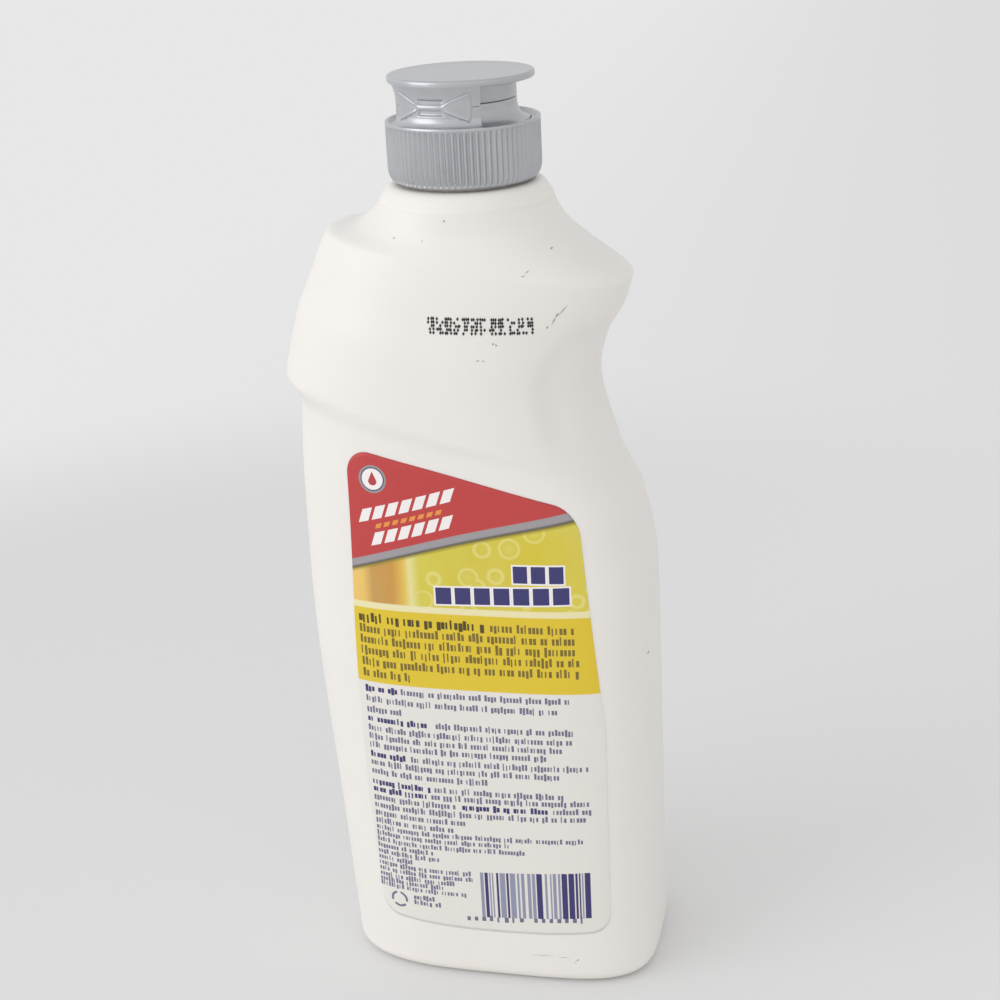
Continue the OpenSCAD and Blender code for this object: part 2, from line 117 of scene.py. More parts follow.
def mesh_object(name, points, faces, material, uv=None):
    """An object at the origin from points in millimetres and a list of faces."""
    mesh = bpy.data.meshes.new(name)
    mesh.from_pydata((np.asarray(points) * 0.001).tolist(), [], [tuple(f) for f in faces])
    mesh.shade_smooth()
    mesh.materials.append(material)
    if uv is not None:
        layer = mesh.uv_layers.new(name="surface")
        corner = np.empty(len(mesh.loops), dtype=np.int32)
        mesh.loops.foreach_get("vertex_index", corner)
        layer.data.foreach_set("uv", np.asarray(uv, dtype=np.float32)[corner].ravel())
    made = bpy.data.objects.new(name, mesh)
    bpy.context.scene.collection.objects.link(made)
    return made


floor_paint, tree, shader, spots = new_material("pale_sweep_painted_light")
away = add(tree, "ShaderNodeVectorMath", {"operation": "LENGTH"}, links={0: spots})
far = add(tree, "ShaderNodeMapRange", {"interpolation_type": "SMOOTHSTEP"},
          {"From Min": 0.34, "From Max": 0.56}, {"Value": away.outputs["Value"]})
part = add(tree, "ShaderNodeSeparateXYZ", links={"Vector": spots})
right = add(tree, "ShaderNodeMapRange", {"interpolation_type": "SMOOTHSTEP"},
            {"From Min": -0.4, "From Max": 0.25}, {"Value": part.outputs["X"]})
# painted light: the near floor's colour is painted lighter towards +X, a painted lift of the window lamp's
# shadow on that side
near_tone_painted_lift = add(tree, "ShaderNodeMix", {"data_type": "RGBA"},
            {"A": linear("#e2e2e2"), "B": linear("#eaeaea")}, {"Factor": right.outputs["Result"]})
# painted light: the far tone is painted lighter on the left and darker on the right, as if lit from the
# window
far_tone_painted_light = add(tree, "ShaderNodeMix", {"data_type": "RGBA"},
              {"A": linear("#e7e7e7"), "B": linear("#dcdcdc")}, {"Factor": right.outputs["Result"]})
tree.links.new(near_tone_painted_lift.outputs["Result"], shader.inputs["Base Color"])
shader.inputs["Roughness"].default_value = 0.9
shader.inputs["Specular IOR Level"].default_value = 0.1
# the far sweep glows with a painted tone to the eye and in gloss, whatever light falls there; the tone is
# painted light, lighter on the left towards the window and darker on the right
ray = add(tree, "ShaderNodeLightPath")
eye_or_gloss = add(tree, "ShaderNodeMath", {"operation": "MAXIMUM"},
                   links={0: ray.outputs["Is Camera Ray"], 1: ray.outputs["Is Glossy Ray"]})
watched = add(tree, "ShaderNodeMath", {"operation": "MAXIMUM"},
              links={0: eye_or_gloss.outputs[0], 1: ray.outputs["Is Transmission Ray"]})
painted_glow_share = add(tree, "ShaderNodeMath", {"operation": "MULTIPLY"},
                 links={0: watched.outputs[0], 1: far.outputs["Result"]})
painted_far_glow = add(tree, "ShaderNodeEmission", links={"Color": far_tone_painted_light.outputs["Result"]})
sweep_mix = add(tree, "ShaderNodeMixShader", links={0: painted_glow_share.outputs[0], 1: shader.outputs["BSDF"],
                                                    2: painted_far_glow.outputs["Emission"]})
surface = next(n for n in tree.nodes if n.type == "OUTPUT_MATERIAL")
tree.links.new(sweep_mix.outputs["Shader"], surface.inputs["Surface"])
floor = mesh_object("floor", [[-9000, -9000, 0], [9000, -9000, 0], [9000, 9000, 0], [-9000, 9000, 0]],
                    [(0, 1, 2, 3)], floor_paint)

# the sky is brightest towards the window at the front left, dimmer behind on the
# right and a little dimmer overhead
sky = bpy.data.worlds.new("even_sky")
sky.use_nodes = True
bpy.context.scene.world = sky
back = next(n for n in sky.node_tree.nodes if n.type == "BACKGROUND")
look = add(sky.node_tree, "ShaderNodeTexCoord")
rise = add(sky.node_tree, "ShaderNodeSeparateXYZ", links={"Vector": look.outputs["Generated"]})
overhead = add(sky.node_tree, "ShaderNodeMapRange",
               values={"From Min": 0.1, "From Max": 1.0, "To Min": 1.0, "To Max": 0.82},
               links={"Value": rise.outputs["Z"]})
facing = add(sky.node_tree, "ShaderNodeVectorMath", {"operation": "DOT_PRODUCT"}, {1: (-0.62, -0.78, 0.05)},
             {0: look.outputs["Generated"]})
side = add(sky.node_tree, "ShaderNodeMapRange", {"interpolation_type": "SMOOTHSTEP"},
           {"From Min": -0.9, "From Max": 0.5, "To Min": 0.8, "To Max": 1.0},
           {"Value": facing.outputs["Value"]})
dim = add(sky.node_tree, "ShaderNodeMath", {"operation": "MULTIPLY"},
          links={0: overhead.outputs["Result"], 1: side.outputs["Result"]})
# past the floor's edge the eye meets a plain tone, near the far sweep's painted tone
glance = add(sky.node_tree, "ShaderNodeLightPath")
sky_tone = add(sky.node_tree, "ShaderNodeMix", {"data_type": "RGBA"}, {"B": linear("#e2e2e2")},
           {"Factor": glance.outputs["Is Camera Ray"], "A": dim.outputs[0]})
sky.node_tree.links.new(sky_tone.outputs["Result"], back.inputs["Color"])
back.inputs["Strength"].default_value = 0.99
bpy.context.scene.view_settings.view_transform = "Standard"


def soft_lamp(name, place, aim, size, watts, colour):
    """A square area lamp at a point in metres, turned to face another point."""
    data = bpy.data.lights.new(name, "AREA")
    data.color = colour
    data.size = size
    data.energy = watts
    lamp = bpy.data.objects.new(name, data)
    bpy.context.scene.collection.objects.link(lamp)
    back_axis = np.array(place, float) - np.array(aim, float)
    back_axis /= np.linalg.norm(back_axis)
    side = np.cross([0, 0, 1], back_axis)
    side /= np.linalg.norm(side)
    lamp.matrix_world = axes_matrix(side, np.cross(back_axis, side), back_axis, place)


soft_lamp("window_left", (-1.25, -0.95, 0.75), (0, 0, 0.14), 1.2, 7.0, (0.96, 0.97, 1.0))


# Bottle. One blow-moulded piece of white high-density polyethylene: a slanted
# finger grip and a ledge above the label panel, a hollow base with its pinch-off
# seam, and a threaded neck with the bore through it.

def ease(t, a, b):
    """Smooth step from 0 at a to 1 at b."""
    s = np.clip((t - a) / (b - a), 0, 1)
    return s * s * (3 - 2 * s)


def curve_rows(rows, heights):
    """All columns of a table at each height: cubic pieces whose slope at a row is
    the harmonic mean of the slopes beside it, or 0 where they turn."""
    rows = np.array(rows, float)
    z = rows[:, 0]
    secant = np.diff(rows, axis=0) / np.diff(z)[:, None]
    product = secant[:-1] * secant[1:]
    total = np.where(product > 0, secant[:-1] + secant[1:], 1)
    slope = np.vstack([secant[:1], np.where(product > 0, 2 * product / total, 0), secant[-1:]])
    i = np.clip(np.searchsorted(z, heights, side="right") - 1, 0, len(z) - 2)
    h = (z[i + 1] - z[i])[:, None]
    t = (np.asarray(heights, float) - z[i])[:, None] / h
    u = 1 - t
    return ((1 + 2 * t) * u * u * rows[i] + t * t * (3 - 2 * t) * rows[i + 1]
            + t * u * u * h * slope[i] - t * t * u * h * slope[i + 1])


ledge_z, lip_z, ridge_z, shoulder_z = 154.6, 157.6, 200.5, 212.5
heel_r = 4.5
neck_x = 1.1
# columns: height, lean, reach to -X, reach to +X, half depth, squareness, ledge's share
panel_rows = [
    [4.5, 0, 39.8, 47.4, 27.3, 2.9, 0],
    [38.83, 0, 41.76, 47.2, 27.9, 2.8, 0],
    [112, 0, 45.4, 46.5, 28, 2.9, 0],
    [137, -0.11, 45, 43.2, 28, 2.9, 0],
    [154.6, -0.22, 43.8, 37.9, 27.7, 2.8, 0],
]
grip_rows = [
    [157.6, -0.27, 43.9, 37.6, 27.6, 2.8, 1],
    [176, -0.235, 40.2, 33.3, 26.9, 2.5, 1],
    [185.5, -0.201, 37.4, 35.6, 25.6, 2.5, 1],
    [193, -0.167, 35.4, 40.2, 24.8, 2.5, 1],
    [200.5, -0.167, 33.4, 42.4, 24, 2.4, 0.6],
]
shoulder_rows = [
    [200.5, -0.167, 33.4, 42.4, 24, 2.4, 0.6],
    [204.5, -0.1169, 26.2, 32.6, 23, 2.3, 0.2],
    [208.5, -0.0585, 23.4, 25.8, 22, 2.1, 0],
    [212.5, 0, 20.7, 22.9, 21.8, 2, 0],
]


def body_rows(heights):
    """The table at any height of the body: panel, straight step of the ledge,
    grip and shoulder, each softened over about a millimetre."""
    fine = np.arange(heel_r, shoulder_z + 0.01, 0.2)
    low = curve_rows(panel_rows, np.minimum(fine, ledge_z))
    mid = curve_rows(grip_rows, np.clip(fine, lip_z, ridge_z))
    top = curve_rows(shoulder_rows, np.maximum(fine, ridge_z))
    step = np.clip((fine - ledge_z) / (lip_z - ledge_z), 0, 1)[:, None]
    table = np.where(fine[:, None] <= lip_z, low + (mid - low) * step, mid)
    table = np.where(fine[:, None] > ridge_z, top, table)
    reach = np.arange(-10, 11)
    weight = np.exp(-0.5 * (reach * 0.2 / 0.55) ** 2)
    weight /= weight.sum()
    padded = np.vstack([table[:1]] * 10 + [table] + [table[-1:]] * 10)
    soft = sum(w * padded[k:k + len(table)] for k, w in enumerate(weight))
    keep = ease(fine, heel_r, heel_r + 3)[:, None] * (1 - ease(fine, shoulder_z - 3, shoulder_z)[:, None])
    table = table + (soft - table) * keep
    heights = np.asarray(heights, float)
    cols = [np.interp(heights, fine, table[:, k]) for k in range(7)]
    cols[0] = heights
    return np.stack(cols, axis=1)


def ledge_step(x):
    """How far the ledge steps out at x: most on the plain side, none at the grip."""
    return 1.3 * (1 - ease(x, 0, 26.53)) + 2.2 * ease(-x, 27.16, 42.92)


def scoop_depth(x, z):
    """Depth of the finger scoop, with a sharp upper rim and a long soft lower end."""
    dx, dz = x - 34.3, z - 169
    away = np.hypot(dx, dz * np.where(dz > 0, 1, 0.62))
    return 2.4 * (1 - ease(away, 9.3, 15))


def skin(rows, angle, wall=0.0):
    """Body surface for rows of the table and angles: a superellipse drawn in by
    the wall, stepped out by the ledge, tilted by the lean, dipped by the scoop."""
    h, lean, left, right, deep, expo, share = (rows[:, k] for k in range(7))
    c, s = np.cos(angle), np.sin(angle)
    left, right, deep = left - wall, right - wall, deep - wall
    mid, half = (right - left) / 2, (right + left) / 2
    expo = expo + np.where(c > 1e-9, 1 - ease(h, 137, 154.6), 0)
    cx = np.sign(c) * np.abs(c) ** (2 / expo)
    sy = np.sign(s) * np.abs(s) ** (2 / expo)
    step = share * ledge_step(mid + half * cx)
    size = np.hypot(half * cx, 1.6 * deep * sy)
    x = mid + half * cx + step * half * cx / size
    z = h + lean * x
    y = deep * sy + step * 1.6 * deep * sy / size - scoop_depth(x, z) * np.abs(sy) * np.sign(sy)
    return np.stack([x, y, z], axis=-1)


def round_angles(count, expo=2.9):
    """Angles that spread points evenly round a superellipse of the body's shape,
    with one at each end of both axes."""
    t = np.linspace(0, math.pi / 2, 4000)
    x, y = 43.5 * np.cos(t) ** (2 / expo), 28 * np.sin(t) ** (2 / expo)
    run = np.concatenate([[0], np.cumsum(np.hypot(np.diff(x), np.diff(y)))])
    quarter = np.interp(np.linspace(0, run[-1], count // 4 + 1), run, t)
    half = np.concatenate([quarter[:-1], (math.pi - quarter[::-1])[:-1]])
    return np.concatenate([half, half + math.pi])


def grid_faces(rows, cols, wrap=True, first=0):
    """Quads of a grid of points, row by row, closed round when wrap is set."""
    i, k = np.meshgrid(np.arange(rows - 1), np.arange(cols if wrap else cols - 1), indexing="ij")
    k2 = (k + 1) % cols
    quads = np.stack([i * cols + k, i * cols + k2, (i + 1) * cols + k2, (i + 1) * cols + k], axis=-1)
    return (quads.reshape(-1, 4) + first).tolist()


def close_rings(rings):
    """Points and faces of a solid over rings that run from its lower pole, up the
    outside and back down the inside to its upper pole; each pole is one point."""
    rows, cols = rings.shape[:2]
    points = np.vstack([rings.reshape(-1, 3), rings[0].mean(axis=0), rings[-1].mean(axis=0)])
    faces = grid_faces(rows, cols)
    low, high = rows * cols, rows * cols + 1
    k = np.arange(cols)
    k2 = (k + 1) % cols
    faces += np.stack([k2, k, np.full(cols, low)], axis=1).tolist()
    last = (rows - 1) * cols
    faces += np.stack([last + k, last + k2, np.full(cols, high)], axis=1).tolist()
    return points, faces


pitch = 4.23


def helix_ridge(angle, z, start, turns, width, height):
    """Radial height of a right-handed thread: a rounded ridge about the line that
    climbs one pitch a turn, faded out over its first and last twelfth of a turn."""
    turn = np.mod(angle, 2 * math.pi) / (2 * math.pi)
    level = (z - start) / pitch - turn
    near = np.round(level)
    along = near + turn
    body = np.clip(1 - np.abs(level - near) * pitch / width, 0, 1)
    fade = ease(along, 0, 0.12) * (1 - ease(along, turns - 0.12, turns))
    return height * fade * np.minimum(1, body * 1.9) * (body > 0)


angles = round_angles(240)
columns = len(angles)
wide = angles[None, :]

# standing ring, heel, panel, ledge, grip and shoulder
heel = np.radians(np.arange(0, 90, 11.25))
heel_rows = np.stack([heel_r * (1 - np.cos(heel)), 0 * heel, 39.8 - heel_r * (1 - np.sin(heel)),
                      47.4 - heel_r * (1 - np.sin(heel)), 27.3 - heel_r * (1 - np.sin(heel)),
                      2.9 + 0.2 * np.cos(heel), 0 * heel], axis=1)
levels = np.concatenate([np.arange(4.5, 148, 2.05), np.arange(148, 164, 0.6), np.arange(164, 197, 1.5),
                         np.arange(197, 205, 0.55), np.arange(205, 212.4, 1)])
outer_rows = np.vstack([heel_rows, body_rows(levels)])
spread = np.repeat(outer_rows, columns, axis=0)
outside = skin(spread, np.tile(angles, len(outer_rows))).reshape(len(outer_rows), columns, 3)
foot = outside[0]
foot_mid = 3.8
hollow = []
for share, rise in ((0.05, 2.6), (0.48, 2.6), (0.62, 2.45), (0.75, 2.1), (0.83, 1.3), (0.868, 0.25)):
    ring = foot.copy()
    ring[:, 0] = foot_mid + (foot[:, 0] - foot_mid) * share
    ring[:, 1] *= share
    ring[:, 2] = rise
    hollow.append(ring)
hollow = np.array(hollow)
# the pinch-off seam stands a little proud across the base
hollow[:, :, 2] -= 0.35 * np.exp(-(hollow[:, :, 1] / 0.7) ** 2) * (hollow[:, :, 2] > 1)

# collar, neck and bore, turned about the neck's own axis
neck_line = np.array([
    [21.8, 212.5], [21.85, 213.0], [21.6, 213.6], [21.25, 214.1], [20.9, 214.6], [20.6, 215.1],
    [20.3, 215.6], [19.8, 216.2], [19.2, 216.7], [18.4, 216.95], [17.0, 217.0], [15.5, 217.0]])
wall_z = np.arange(217.1, 227.7, 0.22)
lip_line = np.array([[15.05, 227.9], [14.85, 228.2], [14.5, 228.4], [13.2, 228.4], [12.8, 228.3],
                     [12.6, 228.0], [12.6, 224], [12.6, 218], [12.6, 213.2], [12.7, 212.4]])
profile = np.vstack([neck_line, np.stack([np.full(len(wall_z), 15.1), wall_z], axis=1), lip_line])
radius = np.repeat(profile[:, :1], columns, axis=1)
height = np.repeat(profile[:, 1:], columns, axis=1)
on_wall = (height > 217.05) & (height < 227.75) & (radius > 15)
radius = radius + on_wall * helix_ridge(wide, height, 217.6, 1.6, 1.15, 1.15)
neck = np.stack([neck_x + radius * np.cos(wide), radius * np.sin(wide), height], axis=-1)

# inside of the body, a wall's thickness within the skin
inner_levels = np.concatenate([np.arange(211.4, 196, -1.2), np.arange(196, 20, -6.0), [16, 12, 9, 6.5, 5]])
inner_rows = body_rows(inner_levels)
spread = np.repeat(inner_rows, columns, axis=0)
inside = skin(spread, np.tile(angles, len(inner_rows)), 1.1).reshape(len(inner_rows), columns, 3)
floor_rings = []
for share in (0.8, 0.4, 0.05):
    ring = inside[-1].copy()
    ring[:, 0] = foot_mid + (ring[:, 0] - foot_mid) * share
    ring[:, 1] *= share
    ring[:, 2] = 4.3
    floor_rings.append(ring)

rings = np.concatenate([hollow, outside, neck, inside, np.array(floor_rings)])
points, faces = close_rings(rings)

# white high-density polyethylene, blow-moulded: satin, slightly waxy, with a soft
# wander in its gloss and surface from the mould
polyethylene, tree, shader, spots = new_material("white_polyethylene")
cloud = add(tree, "ShaderNodeTexNoise", values={"Scale": 28, "Detail": 3}, links={"Vector": spots})
tint = add(tree, "ShaderNodeMix", {"data_type": "RGBA"},
           {"A": linear("#eeeae5"), "B": linear("#f3efe9")}, {"Factor": cloud.outputs["Fac"]})
tree.links.new(tint.outputs["Result"], shader.inputs["Base Color"])
grain = add(tree, "ShaderNodeTexNoise", values={"Scale": 900, "Detail": 2}, links={"Vector": spots})
gloss = add(tree, "ShaderNodeMapRange", values={"To Min": 0.34, "To Max": 0.46},
            links={"Value": cloud.outputs["Fac"]})
tree.links.new(gloss.outputs["Result"], shader.inputs["Roughness"])
wave = add(tree, "ShaderNodeBump", values={"Strength": 0.25, "Distance": 0.0006},
           links={"Height": cloud.outputs["Fac"]})
skin_bump = add(tree, "ShaderNodeBump", values={"Strength": 0.06, "Distance": 0.0001},
                links={"Height": grain.outputs["Fac"], "Normal": wave.outputs["Normal"]})
tree.links.new(skin_bump.outputs["Normal"], shader.inputs["Normal"])
shader.inputs["Subsurface Weight"].default_value = 0.15
shader.inputs["Subsurface Radius"].default_value = (1.0, 0.85, 0.7)
shader.inputs["Subsurface Scale"].default_value = 0.002
shader.inputs["IOR"].default_value = 1.5
bottle = mesh_object("bottle_shell", points, faces, polyethylene)
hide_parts("bottle")
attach(bottle, "container")


# Marks on the bottle. A row of ink-jet dots above the grip, and the small dark
# specks and scuffs that handling has left; each is a thin flake on the skin.

def labelled_face(x, z):
    """Points and outward normals of the labelled face at x and z. The row's height
    and the angle are found by turns, since the lean moves z and the step moves x."""
    x, z = np.broadcast_arrays(np.asarray(x, float), np.asarray(z, float))

    def depth(x, z):
        flat_x, flat_z = x.ravel(), z.ravel()
        h, shift = flat_z.copy(), 0
        for _ in range(14):
            rows = body_rows(np.clip(h, heel_r, shoulder_z))
            _, lean, left, right, deep, expo, share = rows.T
            mid, half = (right - left) / 2, (right + left) / 2
            cx = np.clip((flat_x - shift - mid) / half, -0.999, 0.999)
            expo = expo + np.where(cx > 0, 1 - ease(rows[:, 0], 137, 154.6), 0)
            sy = (1 - np.abs(cx) ** expo) ** (1 / expo)
            size = np.hypot(half * cx, 1.6 * deep * sy)
            step = share * ledge_step(mid + half * cx)
            shift = step * half * cx / size
            h = flat_z - lean * flat_x
        y = deep * sy + step * 1.6 * deep * sy / size - scoop_depth(flat_x, flat_z) * sy
        return -y.reshape(x.shape)

    y = depth(x, z)
    gx = (depth(x + 0.4, z) - depth(x - 0.4, z)) / 0.8
    gz = (depth(x, z + 0.4) - depth(x, z - 0.4)) / 0.8
    normal = np.stack([gx, -np.ones_like(gx), gz], axis=-1)
    normal /= np.linalg.norm(normal, axis=-1, keepdims=True)
    return np.stack([x, y, z], axis=-1), normal


def split(corners, wide, tall):
    """Each four-cornered piece cut into wide by tall pieces: points are the blend
    of its four corners by their share of the way along and up."""
    s = np.linspace(0, 1, wide + 1)[:, None, None, None]
    t = np.linspace(0, 1, tall + 1)[None, :, None, None]
    c = [corners[None, None, :, k] for k in range(4)]
    grid = (1 - s) * (1 - t) * c[0] + s * (1 - t) * c[1] + s * t * c[2] + (1 - s) * t * c[3]
    return np.stack([grid[:-1, :-1], grid[1:, :-1], grid[1:, 1:], grid[:-1, 1:]], axis=-2).reshape(-1, 4, 2)


def flakes(corners, base, thick):
    """Closed four-cornered flakes on the labelled face. Corners are counted
    anticlockwise from outside, base is the gap to the skin, thick the flake."""
    spot, normal = labelled_face(corners[..., 0], corners[..., 1])
    low = (spot + normal * base).reshape(-1, 4, 3)
    high = (spot + normal * (base + thick)).reshape(-1, 4, 3)
    points = np.concatenate([low, high], axis=1).reshape(-1, 3)
    box = np.array([[3, 2, 1, 0], [4, 5, 6, 7], [0, 1, 5, 4], [1, 2, 6, 5], [2, 3, 7, 6], [3, 0, 4, 7]])
    faces = (box[None] + 8 * np.arange(len(low))[:, None, None]).reshape(-1, 4)
    return points, faces.tolist()


def diamond(x, z, wide, tall, turn=0.0):
    """Four corners of a small lozenge about a point, turned anticlockwise."""
    a = math.radians(turn)
    rim = np.array([[-wide, 0], [0, -tall], [wide, 0], [0, tall]]) / 2
    return rim @ np.array([[math.cos(a), math.sin(a)], [-math.sin(a), math.cos(a)]]) + [x, z]


ink, tree, shader, spots = new_material("black_ink_jet_dots")
blotch = add(tree, "ShaderNodeTexNoise", values={"Scale": 1500}, links={"Vector": spots})
tone = add(tree, "ShaderNodeMix", {"data_type": "RGBA"},
           {"A": linear("#1d1c1e"), "B": linear("#3a383a")}, {"Factor": blotch.outputs["Fac"]})
tree.links.new(tone.outputs["Result"], shader.inputs["Base Color"])
shader.inputs["Roughness"].default_value = 0.55

# a band of twelve cells, each four by five places of which about half hold a dot
rng = np.random.default_rng(7)
dots = []
for cell in range(12):
    left_x = -3.5 + cell * 2.13
    for col in range(4):
        for row in range(5):
            if rng.random() < 0.55:
                slip = rng.normal(0, 0.05, 2)
                base_z = 185.3 - 0.035 * (left_x + 3.5)
                dot_x = left_x + col * 0.44 + slip[0]
                dot_z = base_z + row * 0.85 + slip[1]
                dots.append(diamond(dot_x, dot_z, 0.66, 1.0))
points, faces = flakes(np.array(dots), 0.01, 0.05)
batch = mesh_object("batch_dots", points, faces, ink)
batch.data.shade_flat()
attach(batch, "container")

# specks and scuffs: x, z, width, height, turn
scuffs = [(0.6, 211.3, 0.7, 0.6, 10), (-12.5, 206.8, 0.6, 0.4, 40), (-5.0, 206.5, 0.4, 0.4, 0),
          (25.0, 203.2, 0.6, 0.5, 20), (20.3, 199.1, 1.2, 0.3, 40), (19.4, 198.2, 1.0, 0.3, 10),
          (12.0, 182.2, 0.8, 0.4, 60), (12.7, 181.9, 0.9, 0.4, -40), (8.3, 178.3, 1.0, 0.35, 10),
          (9.6, 178.2, 0.7, 0.3, 0), (28.4, 189.4, 3.4, 0.3, 48), (26.2, 187.0, 2.2, 0.35, 62),
          (24.6, 185.4, 0.8, 0.5, 50), (27.0, 188.3, 1.6, 0.5, 55), (46.3, 95.4, 0.3, 0.7, 0),
          (27.6, 8.3, 1.1, 0.4, 30), (27.0, 7.4, 0.5, 0.3, 0), (18.0, 9.3, 6.5, 0.16, 1),
          (24.0, 9.0, 3.5, 0.14, 0)]
corners = np.array([diamond(*s) for s in scuffs])
points, faces = flakes(corners, 0.0, 0.04)
grime, tree, shader, spots = new_material("grey_scuff")
blotch = add(tree, "ShaderNodeTexNoise", values={"Scale": 2200}, links={"Vector": spots})
tone = add(tree, "ShaderNodeMix", {"data_type": "RGBA"},
           {"A": linear("#8a857f"), "B": linear("#cbc5bd")}, {"Factor": blotch.outputs["Fac"]})
tree.links.new(tone.outputs["Result"], shader.inputs["Base Color"])
shader.inputs["Roughness"].default_value = 0.7
marks = mesh_object("scuffs", points, faces, grime)
marks.data.shade_flat()
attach(marks, "container")


# Back label. A printed plastic film, die-cut with round corners and laid on the
# panel; its print is plain fields of colour, rows of blocks and stripes.

def label_drop(u, radius):
    """How far a round corner of the label draws its edge in at the column u."""
    d = 32.75 * (1 - np.abs(u))
    inner = radius - np.minimum(d, radius)
    return np.where(d < radius, radius - np.sqrt(np.maximum(0, radius ** 2 - inner ** 2)), 0)


def label_point(u, v):
    """x and z on the label for u across it, -1 to 1, and v up it, 0 to 1: a foot
    that is nearly level, and a top that slants and curves down to the grip side."""
    low = 17.5 + label_drop(u, 5) - 1.5 * (1 - u * u)
    high = 148.3 - 7.9 * u - 1.0 * u * u - label_drop(u, np.where(u > 0, 6.5, 7.5))
    z = low + (high - low) * v
    left = 28.9 - 1.6 * ease(z, 89, 148.5) - 2 * ease(-z, -60, -16)
    right = 36.6 - 5.5 * np.clip((z / 148.5 - 0.53) / 0.42, 0, 1)
    return -left + (left + right) * (u + 1) / 2, z


def film_solid(front, back):
    """Points and faces of a thin solid between two grids, with its edge closed."""
    rows, cols = front.shape[:2]
    n = rows * cols
    points = np.vstack([front.reshape(-1, 3), back.reshape(-1, 3)])
    face = np.array(grid_faces(rows, cols, wrap=False))
    edge = np.concatenate([np.arange(cols - 1), np.arange(cols - 1, n - 1, cols),
                           np.arange(n - 1, n - cols, -1), np.arange(n - cols, 0, -cols)])
    after = np.roll(edge, -1)
    rim = np.stack([edge, edge + n, after + n, after], axis=1)
    return points, np.vstack([face, face[:, ::-1] + n, rim]).tolist()


u = np.sin(np.radians(90 * np.linspace(-1, 1, 111)))[None, :]
v = np.linspace(0, 1, 121)[:, None]
x, z = label_point(u, v)
spot, normal = labelled_face(x, z)
points, faces = film_solid(spot + normal * 0.15, spot + normal * 0.02)
flat = np.stack([x.ravel() * 0.01 + 0.5, z.ravel() * 0.005], axis=1)

# printed polypropylene film: a satin gloss over flat inks; the red head, grey
# stripe, ochre and green-yellow field, cream line, yellow band and pale foot are
# read from the surface's own map, which holds x and z of the face
film, tree, shader, spots = new_material("printed_film")
place = add(tree, "ShaderNodeUVMap", {"uv_map": "surface"})
part = add(tree, "ShaderNodeSeparateXYZ", links={"Vector": place.outputs["UV"]})
across = add(tree, "ShaderNodeMath", {"operation": "MULTIPLY_ADD"}, {1: 100.0, 2: -50.0},
             {0: part.outputs["X"]})
up = add(tree, "ShaderNodeMath", {"operation": "MULTIPLY"}, {1: 200.0}, {0: part.outputs["Y"]})
bend = add(tree, "ShaderNodeMath", {"operation": "MULTIPLY_ADD"}, {1: -0.00145, 2: 0.262},
           {0: across.outputs[0]})
line = add(tree, "ShaderNodeMath", {"operation": "MULTIPLY_ADD"}, {2: 132.8},
           {0: across.outputs[0], 1: bend.outputs[0]})
above = add(tree, "ShaderNodeMath", {"operation": "SUBTRACT"}, links={0: up.outputs[0], 1: line.outputs[0]})
spread_noise = add(tree, "ShaderNodeTexNoise", values={"Scale": 9, "Detail": 3},
                   links={"Vector": place.outputs["UV"]})
field = add(tree, "ShaderNodeMapRange", values={"From Min": -31, "From Max": 34},
            links={"Value": across.outputs[0]})
ramp = add(tree, "ShaderNodeValToRGB", links={"Fac": field.outputs["Result"]})
stops = [(0.0, "#f2c870"), (0.09, "#efbf64"), (0.13, "#c58d4a"), (0.22, "#cf9746"), (0.265, "#e6c155"),
         (0.29, "#eae29c"), (0.33, "#d6c83c"), (0.55, "#d4c231"), (0.8, "#d9c737"), (1.0, "#dccc4e")]
ramp.color_ramp.elements[0].position, ramp.color_ramp.elements[0].color = stops[0][0], linear(stops[0][1])
ramp.color_ramp.elements[1].position, ramp.color_ramp.elements[1].color = stops[-1][0], linear(stops[-1][1])
for place_on, code in stops[1:-1]:
    ramp.color_ramp.elements.new(place_on).color = linear(code)
# soft pale bubbles of several sizes are the field's only motif
flat_place = add(tree, "ShaderNodeCombineXYZ", links={"X": across.outputs[0], "Y": up.outputs[0]})
bubble = add(tree, "ShaderNodeTexVoronoi", values={"Scale": 0.15, "Randomness": 0.9},
             links={"Vector": flat_place.outputs[0]})
ring = add(tree, "ShaderNodeMapRange", values={"From Min": 0.30, "From Max": 0.37},
           links={"Value": bubble.outputs["Distance"]})
ring_end = add(tree, "ShaderNodeMapRange", values={"From Min": 0.46, "From Max": 0.37},
               links={"Value": bubble.outputs["Distance"]})
ring_on = add(tree, "ShaderNodeMath", {"operation": "MULTIPLY"},
              links={0: ring.outputs["Result"], 1: ring_end.outputs["Result"]})
inside_tone = add(tree, "ShaderNodeMapRange",
                  values={"From Min": 0.0, "From Max": 0.34, "To Min": 0.45, "To Max": 0.0},
                  links={"Value": bubble.outputs["Distance"]})
pale = add(tree, "ShaderNodeMath", {"operation": "MAXIMUM"},
           links={0: ring_on.outputs[0], 1: inside_tone.outputs["Result"]})
green_part = add(tree, "ShaderNodeMapRange", {"interpolation_type": "SMOOTHSTEP"},
                 {"From Min": -13, "From Max": -6, "To Max": 0.62}, {"Value": across.outputs[0]})
mottle = add(tree, "ShaderNodeMath", {"operation": "MULTIPLY"},
             links={0: pale.outputs[0], 1: green_part.outputs["Result"]})
veil = add(tree, "ShaderNodeMapRange",
           values={"From Min": 0.35, "From Max": 0.75, "To Min": 0, "To Max": 0.3},
           links={"Value": spread_noise.outputs["Fac"]})
veiled = add(tree, "ShaderNodeMix", {"data_type": "RGBA"}, {"B": linear("#e4dc7c")},
             {"Factor": veil.outputs["Result"], "A": ramp.outputs["Color"]})
shade = add(tree, "ShaderNodeMix", {"data_type": "RGBA"}, {"B": linear("#efe795")},
            {"Factor": mottle.outputs[0], "A": veiled.outputs["Result"]})
shown = shade.outputs["Result"]


